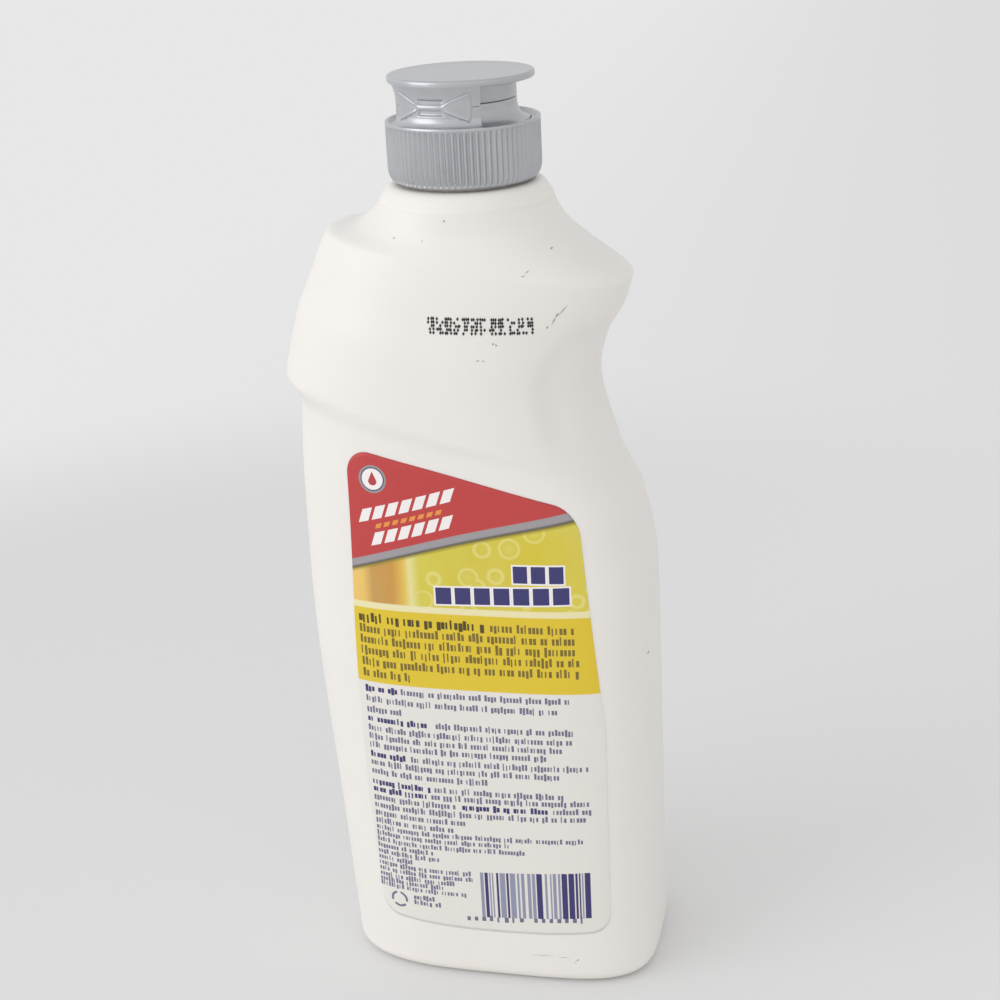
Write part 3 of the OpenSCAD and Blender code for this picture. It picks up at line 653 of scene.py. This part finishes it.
def over(source, low_edge, colour, soft=0.12):
    """The colour so far, covered by an ink where a measure passes its edge."""
    edges = {"From Min": low_edge - soft, "From Max": low_edge + soft}
    mask = add(tree, "ShaderNodeMapRange", values=edges, links={"Value": source})
    return add(tree, "ShaderNodeMix", {"data_type": "RGBA"}, {"B": linear(colour)},
               {"Factor": mask.outputs["Result"], "A": shown}).outputs["Result"]


down = add(tree, "ShaderNodeMath", {"operation": "MULTIPLY"}, {1: -1.0}, {0: up.outputs[0]})
shown = over(above.outputs[0], -3.1, "#8f8428", 0.5)
shown = over(above.outputs[0], -2.5, "#5a5453", 0.3)
shown = over(above.outputs[0], -2.0, "#a09b9e", 0.3)
shown = over(above.outputs[0], 0.0, "#c2403f")
shown = over(down.outputs[0], -112.9, "#efe6b4")
shown = over(down.outputs[0], -111.1, "#e3c62e")
shown = over(down.outputs[0], -89.6, "#e9e5df")
tree.links.new(shown, shader.inputs["Base Color"])
tooth = add(tree, "ShaderNodeTexNoise", values={"Scale": 60, "Detail": 3},
            links={"Vector": place.outputs["UV"]})
gloss = add(tree, "ShaderNodeMapRange", values={"To Min": 0.36, "To Max": 0.5},
            links={"Value": tooth.outputs["Fac"]})
tree.links.new(gloss.outputs["Result"], shader.inputs["Roughness"])
ripple = add(tree, "ShaderNodeBump", values={"Strength": 0.12, "Distance": 0.0003},
             links={"Height": tooth.outputs["Fac"]})
tree.links.new(ripple.outputs["Normal"], shader.inputs["Normal"])
label = mesh_object("label_film", points, faces, film, np.vstack([flat, flat]))
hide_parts("back_label")
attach(label, "container")


def ink_film(name, code, pale, rough=0.45):
    """A printing ink: one colour with a fine uneven lay-down."""
    material, tree, shader, spots = new_material(name)
    lay = add(tree, "ShaderNodeTexNoise", values={"Scale": 1400, "Detail": 2}, links={"Vector": spots})
    tone = add(tree, "ShaderNodeMix", {"data_type": "RGBA"}, {"A": linear(code), "B": linear(pale)},
               {"Factor": lay.outputs["Fac"]})
    tree.links.new(tone.outputs["Result"], shader.inputs["Base Color"])
    shader.inputs["Roughness"].default_value = rough
    return material


def print_layer(name, corners, material, base=0.15, cuts=(1, 1)):
    """A printed layer of four-cornered flakes on the label, riding with it; wide or
    tall ones are cut so that they follow its curve."""
    points, faces = flakes(split(np.array(corners), *cuts), base, 0.02)
    made = mesh_object(name, points, faces, material)
    made.data.shade_flat()
    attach(made, "container")


def type_line(x0, x1, z, slope, tall, cell, ink_share, rng):
    """Blocks that stand for a line of small print: words of 2 to 9 cells with a
    gap of one cell between them, each cell a block of a slightly different height."""
    blocks = []
    x = x0
    while x < x1 - cell:
        word = int(rng.integers(2, 10))
        for _ in range(word):
            if x > x1 - cell:
                break
            rise = tall * rng.choice([1.0, 1.0, 1.0, 1.35])
            drop = tall * rng.choice([0.0, 0.0, 0.0, 0.0, 0.25])
            wide = cell * ink_share * rng.choice([0.55, 1.0, 1.0, 1.15])
            level = z + slope * (x - x0)
            blocks.append([[x, level - drop], [x + wide, level - drop + slope * wide],
                           [x + wide, level + rise + slope * wide], [x, level + rise]])
            x += cell
        x += cell * 0.9
    return blocks


# six lines of brown print on the yellow band, the first words heavier
brown = ink_film("brown_ink", "#6d5a22", "#8a7430")
blocks = type_line(8.2, 30.4, 106.8, -0.012, 1.75, 1.0, 0.66, rng)
for end, z, slope in ((30.6, 104.0, -0.008), (30.8, 100.9, -0.006), (31.2, 97.7, -0.004), (31.2, 94.4, 0.0),
                      (-13.5, 91.1, 0.0)):
    blocks += type_line(-27.2, end, z, slope, 1.75, 1.0, 0.66, rng)
print_layer("band_print", np.array(blocks), brown)
dark_brown = ink_film("dark_brown_ink", "#4a3d18", "#5a4a1e")
blocks = type_line(-27.2, 7.0, 107.2, -0.012, 1.9, 1.15, 0.78, rng)
print_layer("band_print_bold", np.array(blocks), dark_brown, 0.17)

# lines of navy print on the pale foot: end of the line, its height and slope
navy_grey = ink_film("navy_small_print", "#646280", "#7f7d94")
small = [(28.5, 86.8, 0.0), (25.0, 83.7, 0.0), (-16.5, 80.6, 0.0), (30.5, 77.7, 0.0), (28.6, 74.9, 0.0),
         (26.4, 72.3, 0.002), (22.0, 69.8, 0.004), (32.4, 66.8, 0.004), (25.0, 64.3, 0.004),
         (6.0, 61.6, 0.004), (26.0, 58.3, 0.006), (32.4, 56.0, 0.01), (33.0, 53.5, 0.012),
         (32.0, 51.0, 0.015), (-1.0, 48.6, 0.01), (-4.5, 46.2, 0.01), (31.0, 44.1, 0.02),
         (11.0, 42.2, 0.02), (16.0, 40.2, 0.02), (-10.0, 38.3, 0.02), (-9.0, 36.4, 0.02),
         (-17.0, 34.5, 0.02), (-0.5, 32.7, 0.02), (0.5, 30.9, 0.02), (-5.0, 29.1, 0.02),
         (-7.0, 27.5, 0.02), (-2.0, 25.9, 0.02)]


def line_start(z):
    """Where the foot's lines of print begin at a height."""
    return -27.0 - 0.007 * (86 - z)


# heavier words: the row, and where along it they start and end
heavy = {0: (-27.0, -17.5), 3: (-27.0, -8.5), 7: (-27.1, -16.0), 10: (-27.2, -10.0), 11: (-27.2, -11.0),
         12: (-2.0, 22.0)}
blocks, heavy_blocks = [], []
for row, (end, z, slope) in enumerate(small):
    tall, cell = (1.3, 0.85) if row < 16 else (1.1, 0.8)
    start = line_start(z)
    if row in heavy:
        first, last = heavy[row]
        heavy_blocks += type_line(first, last, z + slope * (first - start), slope, tall, 0.95, 0.74, rng)
        blocks += type_line(start, first - 1.2, z, slope, tall, cell, 0.66, rng)
        start = last + 0.6
    blocks += type_line(start, end, z + slope * (start - line_start(z)), slope, tall, cell, 0.66, rng)
# rows below the stripes and beside the ring of arcs
blocks += type_line(-2.5, 32.5, 18.9, 0.055, 1.3, 2.1, 0.45, rng)
blocks += type_line(-17.6, -10.5, 23.6, 0.02, 1.1, 0.9, 0.7, rng)
blocks += type_line(-17.6, -9.5, 21.9, 0.02, 1.1, 0.9, 0.7, rng)
print_layer("foot_print", np.array(blocks), navy_grey)
navy = ink_film("navy_ink", "#33306a", "#3d3a72")
print_layer("foot_print_bold", np.array(heavy_blocks), navy, 0.17)

# stripes of two blues in the lower corner
slate = ink_film("slate_ink", "#8d90a8", "#999cb2")
x = 1.8
thin, thick = [], []
while x < 30.6:
    wide = float(rng.choice([0.4, 0.6, 0.9, 1.5]))
    kind = rng.random()
    low, high = 20.4 + 0.058 * (x - 1.8), 34.7 + 0.058 * (x - 1.8)
    bar = [[x, low], [x + wide, low], [x + wide, high], [x, high]]
    (thick if kind < 0.45 else thin).append(bar)
    x += wide + float(rng.choice([0.35, 0.5, 0.8]))
print_layer("stripes_navy", thick, navy, cuts=(1, 8))
print_layer("stripes_slate", thin, slate, cuts=(1, 8))

# plain patterns of blocks: leaning white and orange ones on the red head, and navy
# ones with a pale edge on the picture
white_ink = ink_film("white_ink", "#f2ecea", "#fbf6f4")
orange_ink = ink_film("orange_ink", "#e8913f", "#ee9f50")


def block_row(x0, z0, slope, tall, wide, gap, count, lean=0.0, grow=0.0):
    """Equal blocks side by side along a slanted line, each leaning to the right by a
    share of its height and grown by the same margin all round."""
    x = (x0 + (wide + gap) * np.arange(count))[:, None]
    side = np.array([-grow, wide + grow, wide + grow, -grow])[None, :]
    lift = np.array([-grow, -grow, tall + grow, tall + grow])[None, :]
    z = z0 + slope * (x - x0 + side) + lift
    return np.stack([x + side + lean * lift, z], axis=-1)


head_rows = [block_row(-25.0, 134.9, 0.29, 3.7, 2.7, 0.95, 7, 0.35),
             block_row(-22.0, 128.8, 0.29, 3.7, 2.7, 0.95, 6, 0.35)]
print_layer("head_blocks", np.vstack(head_rows), white_ink, cuts=(2, 3))
print_layer("head_dashes", block_row(-20.6, 133.6, 0.285, 1.3, 1.5, 0.8, 8, 0.35), orange_ink, cuts=(1, 2))
steps = [(14.8, 120.6, 0.0, 4.6, 3.6, 0.95, 3), (-5.6, 113.9, 0.03, 4.6, 4.1, 0.95, 7)]
print_layer("step_edges", np.vstack([block_row(*row, grow=0.45) for row in steps]), white_ink, 0.15, (3, 3))
print_layer("steps", np.vstack([block_row(*row) for row in steps]), navy, 0.17, (3, 3))


def disc(x, z, radius, a0=0.0, a1=360.0, inner=0.0, parts=32):
    """Four-cornered pieces of a ring or sector from angle a0 to a1, counted from
    the top, clockwise."""
    a = np.radians(np.linspace(a0, a1, parts + 1))
    out = np.stack([x + radius * np.sin(a), z + radius * np.cos(a)], axis=1)
    core = np.stack([x + inner * np.sin(a), z + inner * np.cos(a)], axis=1)
    return np.stack([core[:-1], core[1:], out[1:], out[:-1]], axis=1)


# round badge in the corner: pale face, dark and grey rim, and a small red drop
grey_ink = ink_film("grey_ink", "#8f8b8c", "#a5a1a2")
red_ink = ink_film("red_ink", "#b23a3c", "#bd4644")
badge_x, badge_z = -20.4, 147.0
print_layer("badge_rim", disc(badge_x, badge_z, 3.7, inner=3.1), grey_ink, 0.15)
print_layer("badge_line", disc(badge_x, badge_z, 3.15, inner=2.85), navy, 0.16)
print_layer("badge_face", disc(badge_x, badge_z, 2.9, inner=0.01), white_ink, 0.16, (1, 2))
drop_low = disc(badge_x, badge_z - 0.5, 1.15, 90, 270, 0.01, 12)
drop_high = [[[badge_x - 1.15, badge_z - 0.5], [badge_x + 1.15, badge_z - 0.5],
              [badge_x + 0.08, badge_z + 1.9], [badge_x - 0.08, badge_z + 1.9]]]
print_layer("badge_drop", np.vstack([drop_low, drop_high]), red_ink, 0.18)
# ring of three arcs near the foot
arcs = [disc(-22.0, 22.6, 2.5, a, a + 92, 1.85, 8) for a in (10, 130, 250)]
print_layer("foot_arcs", np.vstack(arcs), navy_grey, 0.16)


# Closure, lower moulding. Injection-moulded polypropylene with a pearl pigment: a
# skirt with grip ribs and a thread inside, a deck with its rim and spout, and a
# wall on the hinge side in which the strap lies.

cap_z, parting_z = 217.7, 237.1
hinge_turn = math.radians(-12.7)


def about_neck(phi, r, z):
    """Points at radius r and height z, phi round from the hinge towards the grip."""
    a = phi + hinge_turn
    phi, r, z = np.broadcast_arrays(phi, r, z)
    return np.stack([neck_x + r * np.sin(a), -r * np.cos(a), z], axis=-1)


def loop_faces(loops, size, closed):
    """Quads between neighbouring loops of the same size: a ring when closed, or a
    bar whose two ends are capped with one face each."""
    i = np.arange(loops if closed else loops - 1)[:, None]
    k = np.arange(size)[None, :]
    i2, k2 = (i + 1) % loops, (k + 1) % size
    corners = [i * size + k, i2 * size + k, i2 * size + k2, i * size + k2]
    quads = np.stack(corners, axis=-1).reshape(-1, 4).tolist()
    if not closed:
        quads += [list(range(size - 1, -1, -1)), list(range((loops - 1) * size, loops * size))]
    return quads


def join(*solids):
    """Several closed solids as one list of points and faces."""
    points, faces, first = [], [], 0
    for some, quads in solids:
        points.append(np.asarray(some).reshape(-1, 3))
        faces += [[k + first for k in quad] for quad in quads]
        first += len(points[-1])
    return np.vstack(points), faces


def crisp(piece, angle=32):
    """Marks the edges of a moulding that are sharper than an angle."""
    piece.data.set_sharp_from_angle(angle=math.radians(angle))


# skirt: the profile is a loop of radius, height and share of the rib
band = [(17.55, 217.72, 0), (17.85, 217.85, 0), (18.02, 218.03, 0), (18.12, 218.2, 0)]
low_ribs = ((218.35, 0.0), (218.5, 0.4), (218.7, 0.85), (219.0, 1.0), (219.4, 1.0), (219.9, 1.0),
            (220.5, 1.0), (221.4, 1.0))
high_ribs = ((223.5, 1.0), (227.5, 1.0), (230.9, 1.0), (231.2, 0.85), (231.45, 0.45), (231.6, 0.0))
ribbed = [(17.75 + 1.35 * math.sqrt(1 - ((221.4 - z) / 3.3) ** 2), z, share) for z, share in low_ribs]
ribbed += [(19.1, z, share) for z, share in high_ribs]
rim = [(19.12, 231.7, 0), (19.15, 231.9, 0), (19.15, 232.15, 0), (19.05, 232.33, 0), (18.9, 232.4, 0),
       (18.35, 232.4, 0), (18.2, 232.34, 0), (18.05, 232.1, 0), (17.9, 231.8, 0), (17.7, 231.7, 0),
       (16.9, 231.7, 0), (16.9, 229.8, 0)]
inner = [(16.6, z, -1) for z in np.arange(229.4, 218.3, -0.35)] + [(16.65, 218.0, 0), (16.9, 217.7, 0)]
profile = np.array([(17.25, cap_z, 0)] + band + ribbed + rim + inner)
phi = np.linspace(0, 2 * math.pi, 801)[:-1][:, None]
radius, height, share = (profile[None, :, k] for k in range(3))
valley = 0.55 * (1 - np.abs(np.cos(40 * phi)) ** 2.0)
radius = radius - valley * np.maximum(share, 0)
world = phi - math.pi / 2 + hinge_turn
radius = radius - (share < 0) * helix_ridge(world, height, 219.7, 1.5, 1.1, 1.15)
skirt = about_neck(phi, radius, height)
skirt_solid = (skirt, [quad[::-1] for quad in loop_faces(800, len(profile), True)])

# deck and spout, with the pouring hole through it
spout_turn = np.radians(np.arange(0, 91, 9))
flare = [(13.5 + 3.1 * (1 - math.sin(a)), 232.0 + 4.1 * (1 - math.cos(a))) for a in spout_turn]
deck_line = np.array([(16.8, 229.5), (16.8, 231.6)] + flare + [
    (13.5, 236.85), (13.45, 237.0), (13.3, 237.1), (9.0, 237.1), (8.8, 236.95), (8.6, 237.1),
    (3.6, 237.1), (3.35, 237.05), (3.2, 236.9), (3.2, 235.6), (3.3, 235.5), (11.1, 235.5),
    (11.6, 235.3), (11.9, 234.9), (11.9, 232.4), (10.5, 231.1), (10.5, 229.5)])
phi = np.linspace(0, 2 * math.pi, 161)[:-1][:, None]
deck = about_neck(phi, deck_line[None, :, 0], deck_line[None, :, 1])
deck_solid = (deck, [quad[::-1] for quad in loop_faces(160, len(deck_line), True)])


def bow_half(across):
    """Half height of the bow at a distance from its middle: the knot, then wings
    that widen in a straight line."""
    return 0.75 + (3.6 - 0.75) * np.clip((np.abs(across) - 2.84) / 6.4, 0, 1)


def pocket(phi, r, z):
    """Depth of the strap's bed and of the window round its knot in a hinge wall."""
    across, off = r * np.sin(phi), np.abs(z - parting_z)
    edge = 9.24 + 0.45 * (1 - np.clip(off / 3.6, 0, 1) ** 2)
    inside = np.minimum(bow_half(across) - 0.12 - off, (edge - 0.12 - np.abs(across)) * 1.5)
    window = np.minimum(1.85 - off, 2.84 + 0.28 * off - np.abs(across))
    return np.maximum(0.3 * ease(inside, -0.1, 0.2), 0.5 * ease(window, -0.25, 0.3))


def hinge_wall(line, bedded):
    """A wall round the hinge side, from a loop of radius and height; the rows that
    are marked take the strap's bed."""
    phi = np.radians(np.linspace(-41, 41, 161))[:, None]
    r, z = line[None, :, 0], line[None, :, 1]
    depth = pocket(phi, r, z) * bedded[None, :]
    return about_neck(phi, r - depth, z), [quad[::-1] for quad in loop_faces(161, len(line), False)]


foot_turn = np.radians(np.arange(0, 80, 10))
sweep = [(17.2 + 1.85 * (1 - math.sin(a)), 232.45 + 2.2 * (1 - math.cos(a))) for a in foot_turn]
upright = [(17.2, z) for z in np.arange(234.6, 237.05, 0.12)] + [(17.2, 237.02), (17.16, 237.1)]
foot = [(15.2, 231.0), (18.9, 231.5), (19.15, 231.72), (19.2, 231.95), (19.17, 232.2), (19.08, 232.36)]
line = np.array(foot + sweep + upright + [(15.2, 237.1)])
bedded = np.array([0] * len(foot) + [1] * (len(sweep) + len(upright)) + [0])
points, faces = join(skirt_solid, deck_solid, hinge_wall(line, bedded))

# silver pearl polypropylene: mica flakes under a clear skin, so it is partly
# metallic, with a satin gloss and a faint swirl of pigment
pearl, tree, shader, spots = new_material("silver_pearl_polypropylene")
swirl = add(tree, "ShaderNodeTexNoise", values={"Scale": 120, "Detail": 4, "Distortion": 0.6},
            links={"Vector": spots})
tint = add(tree, "ShaderNodeMix", {"data_type": "RGBA"}, {"A": linear("#b3b5b8"), "B": linear("#c3c5c9")},
           {"Factor": swirl.outputs["Fac"]})
tree.links.new(tint.outputs["Result"], shader.inputs["Base Color"])
flake = add(tree, "ShaderNodeTexVoronoi", values={"Scale": 3500}, links={"Vector": spots})
glint = add(tree, "ShaderNodeMapRange", values={"To Min": 0.24, "To Max": 0.34},
            links={"Value": swirl.outputs["Fac"]})
tree.links.new(glint.outputs["Result"], shader.inputs["Roughness"])
pebble = add(tree, "ShaderNodeBump", values={"Strength": 0.05, "Distance": 0.0001},
             links={"Height": flake.outputs["Distance"]})
tree.links.new(pebble.outputs["Normal"], shader.inputs["Normal"])
shader.inputs["Metallic"].default_value = 0.7
closure = mesh_object("closure_shell", points, faces, pearl)
crisp(closure, 50)
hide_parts("closure_body")
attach(closure, "closure")


# Flip lid, moulded in the same pearl polypropylene: a thin disc that overhangs all
# round, a wall on the hinge side, an inner ring that meets the spout, and a plug.

def turned(line, count):
    """A solid of revolution about the neck from a line that starts and ends near
    the axis, its two ends closed in one point each."""
    phi = np.linspace(0, 2 * math.pi, count + 1)[:-1]
    line = np.asarray(line, float)
    rings = about_neck(phi[None, :], line[:, :1], line[:, 1:])
    points, faces = close_rings(rings)
    return points, faces


def wall_flare(z):
    """How far the lid's wall has swept outwards at a height, to meet the disc's rim."""
    return 0.88 * np.clip((z - 238.6) / 3.3, 0, 1) ** 1.7


disc_line = [(0.3, 241.7), (13.0, 241.7), (17.6, 241.7), (17.85, 241.76), (18.0, 241.9), (18.05, 242.1),
             (18.05, 242.85), (18.0, 243.05), (17.86, 243.24), (17.65, 243.36), (17.4, 243.4),
             (16.9, 243.37), (16.3, 243.3), (12.0, 243.26), (6.0, 243.22), (0.3, 243.2)]
plug_line = [(0.3, 235.8), (2.4, 235.8), (2.62, 235.85), (3.05, 236.3), (3.12, 236.5), (3.12, 241.8),
             (0.3, 241.8)]
ring_line = np.array([(11.9, 237.2), (13.3, 237.2), (13.45, 237.28), (13.5, 237.4), (13.5, 241.2),
                      (13.6, 241.5), (13.9, 241.8), (11.9, 241.8)])
phi = np.linspace(0, 2 * math.pi, 161)[:-1][:, None]
ring = about_neck(phi, ring_line[None, :, 0], ring_line[None, :, 1])
upright = [(17.16, 237.2), (17.2, 237.26)]
upright += [(17.2 + wall_flare(z), z) for z in np.arange(237.35, 240.9, 0.12)]
flare = [(17.2 + wall_flare(z), z) for z in (241.1, 241.4, 241.7, 241.9)]
flare += [(18.1, 242.1), (18.1, 242.8), (18.05, 243.05), (17.9, 243.26), (17.68, 243.39), (17.4, 243.43)]
line = np.array([(15.2, 237.2)] + upright + flare + [(15.2, 243.0)])
bedded = np.array([0] + [1] * len(upright) + [0] * (len(flare) + 1))
points, faces = join(turned(disc_line, 200), turned(plug_line, 64),
                     (ring, [quad[::-1] for quad in loop_faces(160, len(ring_line), True)]),
                     hinge_wall(line, bedded))
lid = mesh_object("lid_shell", points, faces, pearl)
crisp(lid, 50)
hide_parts("flip_lid")
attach(lid, "lid")


# Hinge strap. A bow of thin polypropylene, moulded with lid and closure: two wings
# with raised edges, joined by a narrow knot, which on the real closure folds as the lid swings; here it is
# one fixed mesh.

bend = np.linspace(-math.pi / 2, math.pi / 2, 141)
s = np.sin(bend)[:, None]
t = np.concatenate([np.sin(np.linspace(-math.pi / 2, math.pi / 2, 45)), np.linspace(1, -1, 13)])[None, :]
front = np.concatenate([np.ones(45), np.zeros(13)])[None, :]
across = s * (9.24 + 0.45 * (1 - t * t) * np.abs(s) ** 3)
half = bow_half(across)
z = parting_z + t * half
wing = ease(np.abs(across), 2.9, 4.4)
margin = np.minimum((1 - np.abs(t)) * half, (1 - np.abs(s)) * 9.3)
swell = np.sqrt(1 - (1 - np.clip(margin / 0.45, 0, 1)) ** 2)
ridge = np.exp(-((margin - 0.4) / 0.3) ** 2)
wing_r = 17.12 + wall_flare(z) + 0.3 * swell + 0.1 * ridge
knot_r = 16.95 + 0.32 * (1 - np.abs(t) ** 2.5)
face_r = knot_r + (wing_r - knot_r) * wing
r = np.where(front > 0.5, face_r, 16.7 + wall_flare(z))
phi = np.arcsin(across / 17.2)
points, faces = about_neck(phi, r, z), [quad[::-1] for quad in loop_faces(141, 58, False)]
strap = mesh_object("bow_strap", points.reshape(-1, 3), faces, pearl)
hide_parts("hinge_strap")
hinge_xy = about_neck(0.0, 17.2, parting_z) * 0.001
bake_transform(strap)


# Sealing ring. A washer of white polyethylene foam pressed under the deck; it is
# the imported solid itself, with the foam's fine cells on its surface.

foam, tree, shader, spots = new_material("white_polyethylene_foam")
cells = add(tree, "ShaderNodeTexVoronoi", values={"Scale": 2500}, links={"Vector": spots})
tint = add(tree, "ShaderNodeMix", {"data_type": "RGBA"}, {"A": linear("#e6e6e2"), "B": linear("#f4f4f1")},
           {"Factor": cells.outputs["Distance"]})
tree.links.new(tint.outputs["Result"], shader.inputs["Base Color"])
dimple = add(tree, "ShaderNodeBump", values={"Strength": 0.3, "Distance": 0.0001},
             links={"Height": cells.outputs["Distance"]})
tree.links.new(dimple.outputs["Normal"], shader.inputs["Normal"])
shader.inputs["Roughness"].default_value = 0.75
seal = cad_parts["seal_ring"]
for held in seal.material_slots:
    held.material = foam
